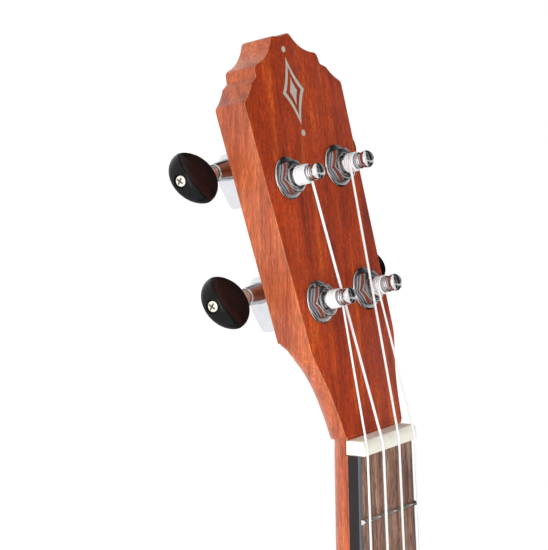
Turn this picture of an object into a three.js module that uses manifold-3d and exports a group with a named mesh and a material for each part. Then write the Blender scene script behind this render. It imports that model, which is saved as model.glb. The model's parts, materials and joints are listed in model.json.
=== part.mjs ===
// A tenor ukulele with an angled headstock and four sealed worm-gear tuners.
// Units are millimetres. +X is the player's-left-to-right of the front view, +Y points to the back of
// the instrument, and +Z runs up the neck. The origin is the point where a hanger's yoke carries the
// headstock, between the two ears just above the nut.
import * as THREE from "three";
import { mergeVertices } from "three/addons/utils/BufferGeometryUtils.js";
import Module from "manifold-3d";

const wasm = await Module();
wasm.setup();

// ---------------------------------------------------------------- driving dimensions
const GAP = 0.2; // left between pieces that are glued or clamped together
const SCALE_LENGTH = 430; // nut to saddle
const FRET_COUNT = 18;
const BODY_FRET = 14; // the fret over the edge of the body

const NUT_HALF = 17.7; // half the fretboard's width at the nut
const BOARD_FLARE = 0.024; // growth of that half width for each millimetre down the neck
const BOARD_THICK = 5.2;
const BOARD_LENGTH = 286;
const NUT_LENGTH = 5.6; // along the neck
const NUT_CREST = 2.1; // above the fretboard's surface
const NUT_SEAT = 6.2; // the nut's seat in the neck, behind the fretboard's surface
const FRET = { half: 0.9, rise: 0.9, bevel: 0.7, tangHalf: 0.25, tangDepth: 1.8, tangShort: 1.6 };

const HEAD_ANGLE = THREE.MathUtils.degToRad(13.9);
const HEAD_START = { y: 4.9, z: 6.4 }; // where the headstock's face starts, from the fretboard's end
const HEAD_THICK = 13.8;
const HEAD_HALF = 25.7; // half width of the straight sides, carried down to the start of the face
const HEAD_FLARE = 0.0455; // and its growth for each millimetre up the headstock
const EAR_UP = 40; // where the sides become straight
const SHOULDER_UP = 126;
const CROWN_UP = 147.6;

const NECK_DEPTH = 12.2; // behind the fretboard, at the nut
const NECK_GROWTH = 0.015; // for each millimetre down the neck
const HEEL_LENGTH = 46;
const HEEL_FOOT = 9; // from the heel's foot to the back of the body

const BODY_LENGTH = 296;
const BODY_BACK = 74; // the back's outer face, behind the fretboard's surface
const PLATE = 2; // thickness of soundboard, back and sides
const SOUND_HOLE = { radius: 30, drop: 96 }; // drop is below the top edge of the body
const BRACE = { half: 3, deep: 8 };

const STRING_PITCH = { nut: 10.5, saddle: 14 };
const STRING_RISE = { nut: 2.1, saddle: 6.8 }; // string centre above the fretboard's surface
const STRING_RADII = [0.42, 0.52, 0.47, 0.42];
const NUT_BEND = 2.4; // where the strings bend, up the neck from the fretboard's end
const TIE_END = { back: 13, rise: -2 }; // where a string ends inside the bridge
const SADDLE = { half: 33, halfThick: 1.3, deep: 5 };
const BRIDGE = { half: 44, thick: 8.4, front: 9, back: 17 }; // front and back from the saddle's line

// The barrel carries the windings; top is above the headstock's face.
const POST = { radius: 3, barrel: 2.6, cap: 3.2, top: 15.7, clearance: 0.2 };
const WINDING_RISE = 7.8; // where a string is wound on its post, above the face
const BORE_RADIUS = 4.8; // through the headstock
const BUSHING = { radius: 4.5, foot: -7, seat: 1.6, top: 4.2, acrossFlats: 11.6 };
// The housing's back slopes at both ends. Its depths at its foot and crown are given, and on the flat between.
const HOUSING = {
  half: 7, low: -6.6, high: 13.8, foot: 9.4, deep: 12.2, crown: 8.6, flat: [3, 9.5],
  wall: 1.1, sleeve: 16.4, tubeTop: -7.4,
};
const WORM_UP = 8; // from the post's axis to the worm's, up the headstock
const WORM_DEEP = HEAD_THICK + 5.9; // from the headstock's face to the worm's axis
const WORM_RADIUS = 2.2;
const SHAFT = {
  radius: 1.7, end: 16.7, flange: 2.6, seat: 20.2, tipRadius: 1.2, tip: 28, threads: 5, pitch: 1.7,
};
const GEAR = { teeth: 14, outer: 5.5, root: 4.5, half: 2 };
const BUTTON = { out: 29, across: 10.5, along: 8.6, half: 4.2 }; // out is from the post's axis to its middle
const SCREW = { head: 2.4, shank: 0.9, sunk: 1.4, high: 1.2 };

const HANG = { y: 16.4, z: 24.2 }; // the hanger's carrying point, from the fretboard's end

// ---------------------------------------------------------------- materials
function material(color, roughness, metalness = 0) {
  return new THREE.MeshStandardMaterial({ color, roughness, metalness });
}
const neckWood = material(0xa8452a, 0.5);
const bodyWood = material(0x9c4526, 0.5);
const blockWood = material(0xc79a6b, 0.8);
const boardWood = material(0x6a4738, 0.6);
const bone = material(0xf2ebdc, 0.35);
const fretMetal = material(0xcfcdc6, 0.25, 1);
const chrome = material(0xd6d8dc, 0.12, 1);
const steel = material(0xb9babd, 0.3, 1);
const blackPlastic = material(0x14141a, 0.25);
const nylon = material(0xf4f3ef, 0.3);
const nickel = material(0xd9d5c8, 0.3, 1);

// ---------------------------------------------------------------- solids
function toSolid(geometry) {
  const bare = geometry.clone();
  bare.deleteAttribute("normal");
  bare.deleteAttribute("uv");
  const merged = mergeVertices(bare, 1e-4);
  return new wasm.Manifold(
    new wasm.Mesh({
      numProp: 3,
      vertProperties: new Float32Array(merged.attributes.position.array),
      triVerts: new Uint32Array(merged.index.array),
    }),
  );
}

function toGeometry(solid) {
  const mesh = solid.getMesh();
  const geometry = new THREE.BufferGeometry();
  geometry.setAttribute("position", new THREE.BufferAttribute(new Float32Array(mesh.vertProperties), 3));
  geometry.setIndex(new THREE.BufferAttribute(new Uint32Array(mesh.triVerts), 1));
  geometry.computeVertexNormals();
  return geometry;
}

function cut(body, ...tools) {
  return toGeometry(tools.reduce((solid, tool) => solid.subtract(toSolid(tool)), toSolid(body)));
}

function join(body, ...more) {
  return toGeometry(more.reduce((solid, next) => solid.add(toSolid(next)), toSolid(body)));
}

function common(body, limit) {
  return toGeometry(toSolid(body).intersect(toSolid(limit)));
}

// ---------------------------------------------------------------- shapes
// An outline in x and y, extruded from z = low to z = high.
function slab(shape, low, high, curveSegments = 6) {
  const depth = high - low;
  return new THREE.ExtrudeGeometry(shape, { depth, bevelEnabled: false, curveSegments }).translate(0, 0, low);
}

// A section in y and z, extruded along x from -half to half.
function bar(section, half, curveSegments = 6) {
  return slab(section, -half, half, curveSegments).rotateX(Math.PI / 2).rotateZ(Math.PI / 2);
}

// A box between two opposite corners.
function block([x0, y0, z0], [x1, y1, z1]) {
  const box = new THREE.BoxGeometry(x1 - x0, y1 - y0, z1 - z0);
  return box.translate((x0 + x1) / 2, (y0 + y1) / 2, (z0 + z1) / 2);
}

// A turned solid about z, from [radius, z] pairs that run up the outside.
function turned(profile, segments = 16) {
  const points = profile.map(([radius, z]) => new THREE.Vector2(radius, z));
  return new THREE.LatheGeometry(points, segments).rotateX(Math.PI / 2);
}

// A round rod between two points.
function rod(from, to, radius, segments = 8) {
  const start = new THREE.Vector3(...from);
  const along = new THREE.Vector3(...to).sub(start);
  const geometry = new THREE.CylinderGeometry(radius, radius, along.length(), segments);
  const middle = start.addScaledVector(along, 0.5);
  const turn = new THREE.Quaternion().setFromUnitVectors(new THREE.Vector3(0, 1, 0), along.normalize());
  return geometry.applyQuaternion(turn).translate(...middle.toArray());
}

function roundedRectangle(x0, y0, x1, y1, radius) {
  const shape = new THREE.Shape();
  shape.absarc(x1 - radius, y0 + radius, radius, -Math.PI / 2, 0);
  shape.absarc(x1 - radius, y1 - radius, radius, 0, Math.PI / 2);
  shape.absarc(x0 + radius, y1 - radius, radius, Math.PI / 2, Math.PI);
  shape.absarc(x0 + radius, y0 + radius, radius, Math.PI, 1.5 * Math.PI);
  shape.closePath();
  return shape;
}

function circle(x, y, radius, sides) {
  const path = new THREE.Path().absarc(x, y, radius, 0, 2 * Math.PI);
  return new THREE.Path(path.getSpacedPoints(sides).slice(0, -1));
}

// A closed outline from its right half, which runs up from the bottom and stays off the axis.
function mirrored(rightHalf) {
  const left = rightHalf.map(({ x, y }) => new THREE.Vector2(-x, y)).reverse();
  return new THREE.Shape([...rightHalf, ...left]);
}

// A skin over rings of equally many points, closed by flat ends.
function loft(rings) {
  const count = rings[0].length;
  const last = (rings.length - 1) * count;
  const faces = [];
  for (let start = 0; start < last; start += count) {
    for (let j = 0; j < count; j++) {
      const a = start + j;
      const b = start + ((j + 1) % count);
      faces.push(a, b, a + count, b, b + count, a + count);
    }
  }
  for (let j = 1; j + 1 < count; j++) {
    faces.push(0, j + 1, j, last, last + j, last + j + 1);
  }
  const geometry = new THREE.BufferGeometry();
  geometry.setAttribute("position", new THREE.Float32BufferAttribute(rings.flat(2), 3));
  geometry.setIndex(faces);
  return geometry;
}

// ---------------------------------------------------------------- the part's frames
const ukulele = new THREE.Group();
const neckFrame = new THREE.Group(); // origin on the fretboard's surface, at its end by the nut
const plan = new THREE.Group(); // x across, y up the neck, z out of the front
const head = new THREE.Group(); // x across, y up the headstock, z out of its face
neckFrame.position.set(0, -HANG.y, -HANG.z);
plan.rotation.x = Math.PI / 2;
head.position.set(0, HEAD_START.y, HEAD_START.z);
head.rotation.x = Math.PI / 2 - HEAD_ANGLE;
ukulele.add(neckFrame);
neckFrame.add(plan, head);
neckFrame.updateMatrixWorld(true);

function piece(parent, name, geometry, finish) {
  const mesh = new THREE.Mesh(geometry, finish);
  mesh.name = name;
  parent.add(mesh);
}

// A geometry drawn in the head's frame, moved to the neck's frame.
const headToNeck = (geometry) => geometry.applyMatrix4(head.matrix);

// ---------------------------------------------------------------- tuner places
// turn is how far, in degrees, a button's flat faces lean up from the headstock's at rest.
const TUNERS = [
  { name: "g", side: -1, out: 15.1, up: 50.2, turn: 22 },
  { name: "c", side: -1, out: 16.2, up: 96.3, turn: 25 },
  { name: "e", side: 1, out: 16.2, up: 96.3, turn: 25 },
  { name: "a", side: 1, out: 15.1, up: 50.2, turn: 45 },
];

// ---------------------------------------------------------------- neck and headstock
const fretDrop = (number) => SCALE_LENGTH * (1 - 2 ** (-number / 12));
const boardHalf = (drop) => NUT_HALF + BOARD_FLARE * drop;
const headHalf = (up) => HEAD_HALF + HEAD_FLARE * up;
const BODY_TOP = -fretDrop(BODY_FRET);

// The headstock above the ears: straight sides, a slanted shoulder, a small step, a cove, a scooped crown.
function headOutline() {
  const shoulder = headHalf(SHOULDER_UP);
  const half = new THREE.Path();
  half.moveTo(headHalf(EAR_UP - 1), EAR_UP - 1);
  half.lineTo(shoulder, SHOULDER_UP - 0.8);
  half.quadraticCurveTo(shoulder, SHOULDER_UP + 0.4, shoulder - 1.4, SHOULDER_UP + 1.2);
  half.quadraticCurveTo(26.6, 129.3, 24.2, 132.7);
  half.lineTo(21.2, 134.1);
  half.quadraticCurveTo(20.8, 134.3, 20.7, 135);
  half.lineTo(20.3, 137.2);
  half.quadraticCurveTo(19.9, 138.5, 18.4, 138.9);
  half.quadraticCurveTo(10.6, 140.2, 6.2, CROWN_UP - 0.7);
  half.quadraticCurveTo(5.4, CROWN_UP + 0.2, 4, CROWN_UP);
  half.lineTo(1.2, CROWN_UP - 0.5);
  return mirrored(half.getPoints(5));
}

// One cross-section: flat in front at y and z, a superellipse behind it, leaning back about x.
function neckRing(half, depth, squareness, y, z, lean) {
  const steps = 16;
  const ring = [];
  for (let i = 0; i <= steps; i++) {
    const angle = (Math.PI * i) / steps;
    const across = Math.cos(angle);
    const x = half * Math.sign(across) * Math.abs(across) ** (2 / squareness);
    const back = depth * Math.max(0, Math.sin(angle)) ** (2 / squareness);
    ring.push([x, y + back * Math.cos(lean), z - back * Math.sin(lean)]);
  }
  return ring;
}

function neckGeometry() {
  const rings = [];
  const end = BODY_TOP + GAP;
  const heelDepth = BODY_BACK - BOARD_THICK - HEEL_FOOT;
  const shaftDepth = (z) => NECK_DEPTH - NECK_GROWTH * z;
  const heelSteps = 8;
  for (let i = 0; i <= heelSteps; i++) {
    const z = end + (HEEL_LENGTH * i) / heelSteps;
    const sweep = (1 - i / heelSteps) ** 2.6;
    const half = boardHalf(-z) * (1 - 0.12 * sweep);
    const depth = THREE.MathUtils.lerp(shaftDepth(z), heelDepth, sweep);
    rings.push(neckRing(half, depth, 2.2 + 0.5 * sweep, BOARD_THICK, z, 0));
  }
  for (const z of [-95, -1]) {
    rings.push(neckRing(boardHalf(-z), shaftDepth(z), 2.2, BOARD_THICK, z, 0));
  }
  rings.push(neckRing(NUT_HALF + 0.4, NECK_DEPTH + 0.2, 2.2, HEAD_START.y - 0.1, 6, HEAD_ANGLE * 0.6));
  // How far up the headstock, its half width there, and how square its back is.
  const stations = [
    [1, 18.9, 2.2], [8, 20, 2.25], [15, 21.4, 2.35], [20, 22.8, 2.45], [24, 24.2, 2.6], [28, 25.7, 2.9],
    [31, 26.7, 3.5], [34, 27.2, 4.6], [37, 27.4, 8], [EAR_UP, headHalf(EAR_UP), 24],
  ];
  for (const [up, half, squareness] of stations) {
    const y = HEAD_START.y + up * Math.sin(HEAD_ANGLE);
    const z = HEAD_START.z + up * Math.cos(HEAD_ANGLE);
    rings.push(neckRing(half, HEAD_THICK, squareness, y, z, HEAD_ANGLE));
  }
  const plate = headToNeck(slab(headOutline(), -HEAD_THICK, 0));
  const bores = TUNERS.map(({ side, out, up }) => {
    const [x, depth] = [side * out, HEAD_THICK + 5];
    return headToNeck(rod([x, up, -depth], [x, up, 5], BORE_RADIUS, 20));
  });
  const nutSeat = block([-NUT_HALF - 3, 0, 0], [NUT_HALF + 3, NUT_SEAT, NUT_LENGTH + GAP]);
  return cut(join(loft(rings), plate), nutSeat, ...bores);
}
piece(neckFrame, "neck", neckGeometry(), neckWood);

// ---------------------------------------------------------------- fretboard, frets and nut
function fretboardGeometry() {
  const end = boardHalf(BOARD_LENGTH);
  const corners = [[end, -BOARD_LENGTH], [NUT_HALF, 0]].map(([x, y]) => new THREE.Vector2(x, y));
  const board = slab(mirrored(corners), GAP - BOARD_THICK, 0);
  const slots = Array.from({ length: FRET_COUNT }, (_, i) => {
    const drop = fretDrop(i + 1);
    const reach = boardHalf(drop) - FRET.tangShort + GAP;
    const slotHalf = FRET.tangHalf + GAP;
    return block([-reach, -drop - slotHalf, -FRET.tangDepth - GAP], [reach, slotHalf - drop, 1]);
  });
  return cut(board, ...slots);
}
piece(plan, "fretboard", fretboardGeometry(), boardWood);

// A fret's crown lies on the board with bevelled ends, and its tang stands in a blind slot.
function fretGeometry(drop) {
  const section = new THREE.Shape();
  section.moveTo(FRET.tangHalf, -FRET.tangDepth);
  section.lineTo(FRET.tangHalf, GAP);
  section.absellipse(0, GAP, FRET.half, FRET.rise, 0, Math.PI);
  section.lineTo(-FRET.tangHalf, GAP);
  section.lineTo(-FRET.tangHalf, -FRET.tangDepth);
  section.closePath();
  const end = boardHalf(drop) - GAP;
  const tangEnd = boardHalf(drop) - FRET.tangShort;
  const ends = [
    [tangEnd, -FRET.tangDepth - 1], [tangEnd, GAP], [end, GAP], [end - FRET.bevel, GAP + FRET.rise + 0.1],
  ];
  const outline = mirrored(ends.map(([x, y]) => new THREE.Vector2(x, y)));
  const limit = slab(outline, -FRET.half - 1, FRET.half + 1).rotateX(Math.PI / 2);
  return common(bar(section, end, 6), limit).translate(0, -drop, 0);
}
for (let number = 1; number <= FRET_COUNT; number++) {
  piece(plan, `fret_${String(number).padStart(2, "0")}`, fretGeometry(fretDrop(number)), fretMetal);
}

// Each string's turning points in the plan's frame: in the bridge, on the saddle, on the nut, at its post.
function stringRoute(index) {
  const { side, out, up } = TUNERS[index];
  const place = index - 1.5;
  const saddleX = place * STRING_PITCH.saddle;
  const tangent = out - POST.barrel - STRING_RADII[index] - GAP;
  const post = new THREE.Vector3(side * tangent, up, WINDING_RISE).applyMatrix4(head.matrix);
  return [
    new THREE.Vector3(saddleX, -SCALE_LENGTH - TIE_END.back, TIE_END.rise),
    new THREE.Vector3(saddleX, -SCALE_LENGTH, STRING_RISE.saddle),
    new THREE.Vector3(place * STRING_PITCH.nut, NUT_BEND, STRING_RISE.nut),
    post.applyMatrix4(plan.matrix.clone().invert()),
  ];
}

// A round ring of points about a direction, starting on the side of +x.
function ringAround(centre, direction, radius) {
  const steps = 8;
  const across = new THREE.Vector3(1, 0, 0).addScaledVector(direction, -direction.x).normalize();
  const up = new THREE.Vector3().crossVectors(direction, across);
  return Array.from({ length: steps }, (_, i) => {
    const angle = (2 * Math.PI * i) / steps;
    const point = centre.clone().addScaledVector(across, radius * Math.cos(angle));
    return point.addScaledVector(up, radius * Math.sin(angle)).toArray();
  });
}

// A taut string: straight stretches that meet in a mitre at each turning point.
function stringGeometry(index) {
  const route = stringRoute(index);
  const rings = route.map((point, i) => {
    const before = route[Math.max(i - 1, 0)];
    const after = route[Math.min(i + 1, route.length - 1)];
    const arriving = point.clone().sub(before).normalize();
    const leaving = after.clone().sub(point).normalize();
    return ringAround(point, arriving.add(leaving).normalize(), STRING_RADII[index]);
  });
  return loft(rings);
}
TUNERS.forEach(({ name }, index) => piece(plan, `string_${name}`, stringGeometry(index), nylon));

function nutGeometry() {
  const low = GAP - NUT_SEAT;
  const section = new THREE.Shape();
  section.moveTo(GAP, low);
  section.lineTo(NUT_LENGTH, low);
  section.lineTo(NUT_LENGTH, 0.8);
  section.quadraticCurveTo(4.6, NUT_CREST - 0.1, 2.6, NUT_CREST);
  section.lineTo(1, NUT_CREST);
  section.quadraticCurveTo(GAP, NUT_CREST, GAP, NUT_CREST - 0.7);
  section.closePath();
  const slots = TUNERS.flatMap((_, index) => {
    const [, saddle, crest, post] = stringRoute(index);
    return [saddle, post].map((end) => {
      const along = end.clone().sub(crest).normalize();
      const start = crest.clone().addScaledVector(along, -0.4);
      const reach = crest.clone().addScaledVector(along, 8);
      return rod(start.toArray(), reach.toArray(), STRING_RADII[index] + GAP, 6);
    });
  });
  return cut(bar(section, NUT_HALF - 0.1, 4), ...slots);
}
piece(plan, "nut", nutGeometry(), bone);

// ---------------------------------------------------------------- body
// The body's outline in plan, moved inwards by inset.
function bodyOutline(inset) {
  const rightSide = [
    [39, -291], [71, -278], [95.5, -259], [110, -237], [115, -212], [111, -188], [100.5, -166], [85, -147],
    [75.5, -132], [71.5, -117], [74, -101], [80.5, -84], [86, -62], [80.5, -35], [64, -14], [42, -4.5], [22, -0.6],
  ];
  const leftSide = rightSide.map(([x, y]) => [-x, y]).reverse();
  const knots = [[0, -BODY_LENGTH], ...rightSide, [0, -0.2], ...leftSide];
  const curve = new THREE.CatmullRomCurve3(
    knots.map(([x, y]) => new THREE.Vector3(x, BODY_TOP + y, 0)), true, "centripetal",
  );
  const points = curve.getSpacedPoints(72).slice(0, -1);
  return points.map((point, i) => {
    const before = points[(i + points.length - 1) % points.length];
    const after = points[(i + 1) % points.length];
    const along = after.clone().sub(before).normalize();
    return new THREE.Vector2(point.x - inset * along.y, point.y + inset * along.x);
  });
}

const BODY_FRONT = BOARD_THICK; // the soundboard's outer face, behind the fretboard's surface
const insideOutline = () => new THREE.Shape(bodyOutline(PLATE + 2 * GAP));

// A plate with braces across its inner face, which are glued on and count as one piece with it.
function braceAcross(y, reach, from, to) {
  return block([-reach, y - BRACE.half, from], [reach, y + BRACE.half, to]);
}

function soundboardGeometry() {
  const outline = new THREE.Shape(bodyOutline(0));
  outline.holes.push(circle(0, BODY_TOP - SOUND_HOLE.drop, SOUND_HOLE.radius, 48));
  const inner = -BODY_FRONT - PLATE;
  const braces = [-58, -136].map((y) => braceAcross(BODY_TOP + y, 64, inner - BRACE.deep, inner + 0.5));
  const bridgePlate = block([-52, -SCALE_LENGTH - 18, inner - 2], [52, -SCALE_LENGTH + 12, inner + 0.5]);
  return join(slab(outline, inner, -BODY_FRONT, 12), ...braces, bridgePlate);
}
piece(plan, "soundboard", soundboardGeometry(), bodyWood);

function backGeometry() {
  const inner = PLATE - BODY_BACK;
  const braces = [-70, -136, -216].map((y) => braceAcross(BODY_TOP + y, 64, inner - 0.5, inner + BRACE.deep));
  return join(slab(new THREE.Shape(bodyOutline(0)), -BODY_BACK, inner), ...braces);
}
piece(plan, "back", backGeometry(), bodyWood);

const RIM_LOW = PLATE + GAP - BODY_BACK;
const RIM_HIGH = -BODY_FRONT - PLATE - GAP;

function rimGeometry() {
  const outline = new THREE.Shape(bodyOutline(0));
  outline.holes.push(new THREE.Path(bodyOutline(PLATE)));
  return slab(outline, RIM_LOW, RIM_HIGH);
}
piece(plan, "rim", rimGeometry(), bodyWood);

// The blocks fill the rim's ends between soundboard and back.
function endBlockGeometry(from, to) {
  const blank = block([-27, from, RIM_LOW], [27, to, RIM_HIGH]);
  return common(blank, slab(insideOutline(), RIM_LOW - 1, RIM_HIGH + 1));
}
piece(plan, "neck_block", endBlockGeometry(BODY_TOP - 24, BODY_TOP), blockWood);
piece(plan, "tail_block", endBlockGeometry(BODY_TOP - BODY_LENGTH, BODY_TOP - BODY_LENGTH + 16), blockWood);

// ---------------------------------------------------------------- bridge and saddle
function bridgeGeometry() {
  const low = GAP - BODY_FRONT;
  const top = low + BRIDGE.thick;
  const line = -SCALE_LENGTH; // the saddle's line
  const section = new THREE.Shape();
  section.moveTo(line - BRIDGE.back, low);
  section.lineTo(line + BRIDGE.front, low);
  section.lineTo(line + BRIDGE.front, top - 3);
  section.quadraticCurveTo(line + BRIDGE.front - 1, top, line + 4, top);
  section.lineTo(line - 3, top);
  section.lineTo(line - 3.4, top - 3.2);
  section.lineTo(line - 6.6, top - 3.2);
  section.lineTo(line - 7, top - 0.4);
  section.quadraticCurveTo(line - BRIDGE.back + 2, top, line - BRIDGE.back, top - 4);
  section.closePath();
  const outline = roundedRectangle(-BRIDGE.half, line - BRIDGE.back, BRIDGE.half, line + BRIDGE.front, 6);
  const blank = common(bar(section, BRIDGE.half + 1, 4), slab(outline, low - 1, top + 1, 5));
  const slotHalf = SADDLE.halfThick + GAP;
  const reach = SADDLE.half + GAP;
  const slot = block([-reach, line - slotHalf, top - SADDLE.deep], [reach, line + slotHalf, top + 1]);
  const bores = TUNERS.map((_, index) => {
    const [end, saddle] = stringRoute(index);
    const along = end.clone().sub(saddle).normalize();
    const beyond = end.clone().addScaledVector(along, 0.5);
    return rod(saddle.toArray(), beyond.toArray(), STRING_RADII[index] + GAP, 6);
  });
  return cut(blank, slot, ...bores);
}
piece(plan, "bridge", bridgeGeometry(), boardWood);

function saddleGeometry() {
  const low = GAP - BODY_FRONT + BRIDGE.thick - SADDLE.deep + GAP;
  const top = STRING_RISE.saddle - 0.7;
  const { half, halfThick } = SADDLE;
  const section = new THREE.Shape();
  section.moveTo(-halfThick, low);
  section.lineTo(halfThick, low);
  section.lineTo(halfThick, top - 0.4);
  section.quadraticCurveTo(halfThick * 0.8, top, halfThick * 0.3, top);
  section.quadraticCurveTo(-halfThick * 0.5, top, -halfThick, top - 1.1);
  section.closePath();
  return bar(section, half, 4).translate(0, -SCALE_LENGTH, 0);
}
piece(plan, "saddle", saddleGeometry(), bone);

// ---------------------------------------------------------------- tuners
// Everything is drawn about the post's axis, z out of the headstock's face and y up the headstock.
function washerGeometry() {
  const inner = BUSHING.radius + GAP;
  return turned([[inner, GAP], [8, GAP], [8, 0.7], [7.4, 1.2], [inner, 1.4], [inner, GAP]], 20);
}

function bushingGeometry() {
  const { foot, seat, top } = BUSHING;
  const corner = BUSHING.acrossFlats / Math.sqrt(3);
  const hexagon = new THREE.CylinderGeometry(corner, corner, top - seat, 6).rotateX(Math.PI / 2);
  hexagon.translate(0, 0, (seat + top) / 2);
  const chamfer = turned([
    [0, seat - 1], [corner + 1, seat - 1], [corner + 1, top - 1.3], [corner - 1.1, top], [0, top],
  ], 18);
  const shank = rod([0, 0, foot], [0, 0, seat + 0.1], BUSHING.radius, 12);
  const bore = POST.radius + POST.clearance;
  const recess = turned([[0, foot - 1], [bore, foot - 1], [bore, top - 0.9], [bore + 0.8, top - 0.9],
    [bore + 0.8, top + 1], [0, top + 1]]);
  return cut(join(common(hexagon, chamfer), shank), recess);
}

// The post carries the gear; above the face it has a barrel, a waist and a domed cap.
function postGeometry() {
  const { radius, barrel, cap, top } = POST;
  const foot = -WORM_DEEP - GEAR.half - 1.2;
  const stem = turned([
    [0, foot], [2, foot], [2, -WORM_DEEP], [radius, -WORM_DEEP], [radius, 5], [barrel, 5.8], [barrel, 9.6],
    [radius, 10.4], [2.5, 11], [2.5, 11.7], [cap, 12.6], [cap, 14], [2.3, 15.3], [0, top],
  ]);
  const toothCorners = [[-0.34, GEAR.root], [-0.16, GEAR.outer], [0.16, GEAR.outer], [0.34, GEAR.root]];
  const corners = [];
  for (let tooth = 0; tooth < GEAR.teeth; tooth++) {
    for (const [shift, radial] of toothCorners) {
      const angle = (2 * Math.PI * (tooth + shift)) / GEAR.teeth;
      corners.push(new THREE.Vector2(radial * Math.cos(angle), radial * Math.sin(angle)));
    }
  }
  const gear = slab(new THREE.Shape(corners), -WORM_DEEP - GEAR.half, -WORM_DEEP + GEAR.half);
  return join(stem, gear);
}

// A die-cast case behind the headstock, with a threaded tube for the bushing and a sleeve for the shaft.
function housingGeometry(side) {
  const { half, low, high, foot, deep, crown, flat, wall, sleeve, tubeTop } = HOUSING;
  const face = -HEAD_THICK - GAP;
  const front = roundedRectangle(-half, low, half, high, 2);
  const profile = (inset, open) => new THREE.Shape([
    [low + inset, open], [low + inset, face - foot + inset], [flat[0], face - deep + inset],
    [flat[1], face - deep + inset], [high - inset, face - crown + inset], [high - inset, open],
  ].map(([y, z]) => new THREE.Vector2(y, z)));
  const shell = common(slab(front, face - deep - 1, face, 3), bar(profile(0, face + 1), half + 1));
  const tube = rod([0, 0, face - 0.5], [0, 0, tubeTop], BUSHING.radius, 16);
  const cone = turned([[0, half - 0.5], [4, half - 0.5], [4, half + 1], [3.3, sleeve], [0, sleeve]]);
  const collar = alongShaft(cone, side);
  const cavity = bar(profile(wall, face - wall), half - wall);
  const postBore = rod([0, 0, face - 2], [0, 0, tubeTop + 1], POST.radius + POST.clearance, 16);
  const shaftBore = alongShaft(rod([0, 0, 0], [0, 0, sleeve + 1], SHAFT.radius + POST.clearance, 12), side);
  return cut(join(shell, tube, collar), cavity, postBore, shaftBore);
}

// A solid drawn about z with its button end up, laid along the worm's shaft on the given side.
function alongShaft(geometry, side) {
  return geometry.rotateY((side * Math.PI) / 2).translate(0, WORM_UP, -WORM_DEEP);
}

function wormShaftGeometry(side) {
  const { radius, end, flange, seat, tipRadius, tip, threads, pitch } = SHAFT;
  const profile = [[0, -5.5], [radius, -5.5]];
  for (let turn = 0; turn < threads; turn++) {
    const middle = (turn - (threads - 1) / 2) * pitch;
    profile.push([radius, middle - 0.4 * pitch], [WORM_RADIUS, middle], [radius, middle + 0.4 * pitch]);
  }
  profile.push([radius, end], [flange, end], [flange, seat]);
  profile.push([tipRadius, seat], [tipRadius, tip], [0, tip]);
  return alongShaft(turned(profile, 10), side);
}

function buttonGeometry(side, turn) {
  const { out, across, along, half } = BUTTON;
  const profile = [
    [0, -half], [across - 2.2, -half + 0.1], [across - 0.8, -half * 0.75], [across, 0],
    [across - 0.8, half * 0.75], [across - 2.2, half - 0.1], [0, half],
  ];
  const oval = turned(profile, 20).scale(along / across, 1, 1).rotateX(-THREE.MathUtils.degToRad(turn));
  oval.translate(side * out, WORM_UP, -WORM_DEEP);
  const [inner, outer] = [out - along, out + along];
  const bore = rod([0, 0, inner - 1], [0, 0, outer + 1], SHAFT.tipRadius + GAP, 12);
  const counterbore = rod([0, 0, outer - SCREW.sunk], [0, 0, outer + 1], SCREW.head + GAP, 12);
  return cut(oval, alongShaft(bore, side), alongShaft(counterbore, side));
}

function buttonScrewGeometry(side) {
  const seat = BUTTON.out + BUTTON.along - SCREW.sunk + GAP;
  const { head: headRadius, shank, high } = SCREW;
  const blank = turned([
    [0, SHAFT.tip + GAP], [shank, SHAFT.tip + GAP], [shank, seat], [headRadius, seat],
    [headRadius, seat + 0.5 * high], [headRadius * 0.6, seat + high], [0, seat + high],
  ], 12);
  const recess = [0, Math.PI / 2].map((angle) =>
    block([-1.2, -0.25, seat + 0.4 * high], [1.2, 0.25, seat + high + 1]).rotateZ(angle + Math.PI / 4),
  );
  return alongShaft(cut(blank, ...recess), side);
}

for (const { name, side, out, up, turn } of TUNERS) {
  const tuner = new THREE.Group();
  tuner.position.set(side * out, up, 0);
  head.add(tuner);
  piece(tuner, `tuner_${name}_washer`, washerGeometry(), chrome);
  piece(tuner, `tuner_${name}_bushing`, bushingGeometry(), chrome);
  piece(tuner, `tuner_${name}_post`, postGeometry(), chrome);
  piece(tuner, `tuner_${name}_housing`, housingGeometry(side), chrome);
  piece(tuner, `tuner_${name}_worm_shaft`, wormShaftGeometry(side), steel);
  piece(tuner, `tuner_${name}_button`, buttonGeometry(side, turn), blackPlastic);
  piece(tuner, `tuner_${name}_button_screw`, buttonScrewGeometry(side), nickel);
}

export default ukulele;
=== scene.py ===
"""The looks of a tenor ukulele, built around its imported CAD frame.

Lengths are in millimetres, and each frame's matrix turns them into metres in the part's own frame.
"""

import json
from math import atan2, copysign, cos, dist, hypot, pi, radians, sin, sqrt

import bmesh
import bpy
from mathutils import Matrix, Vector


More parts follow.
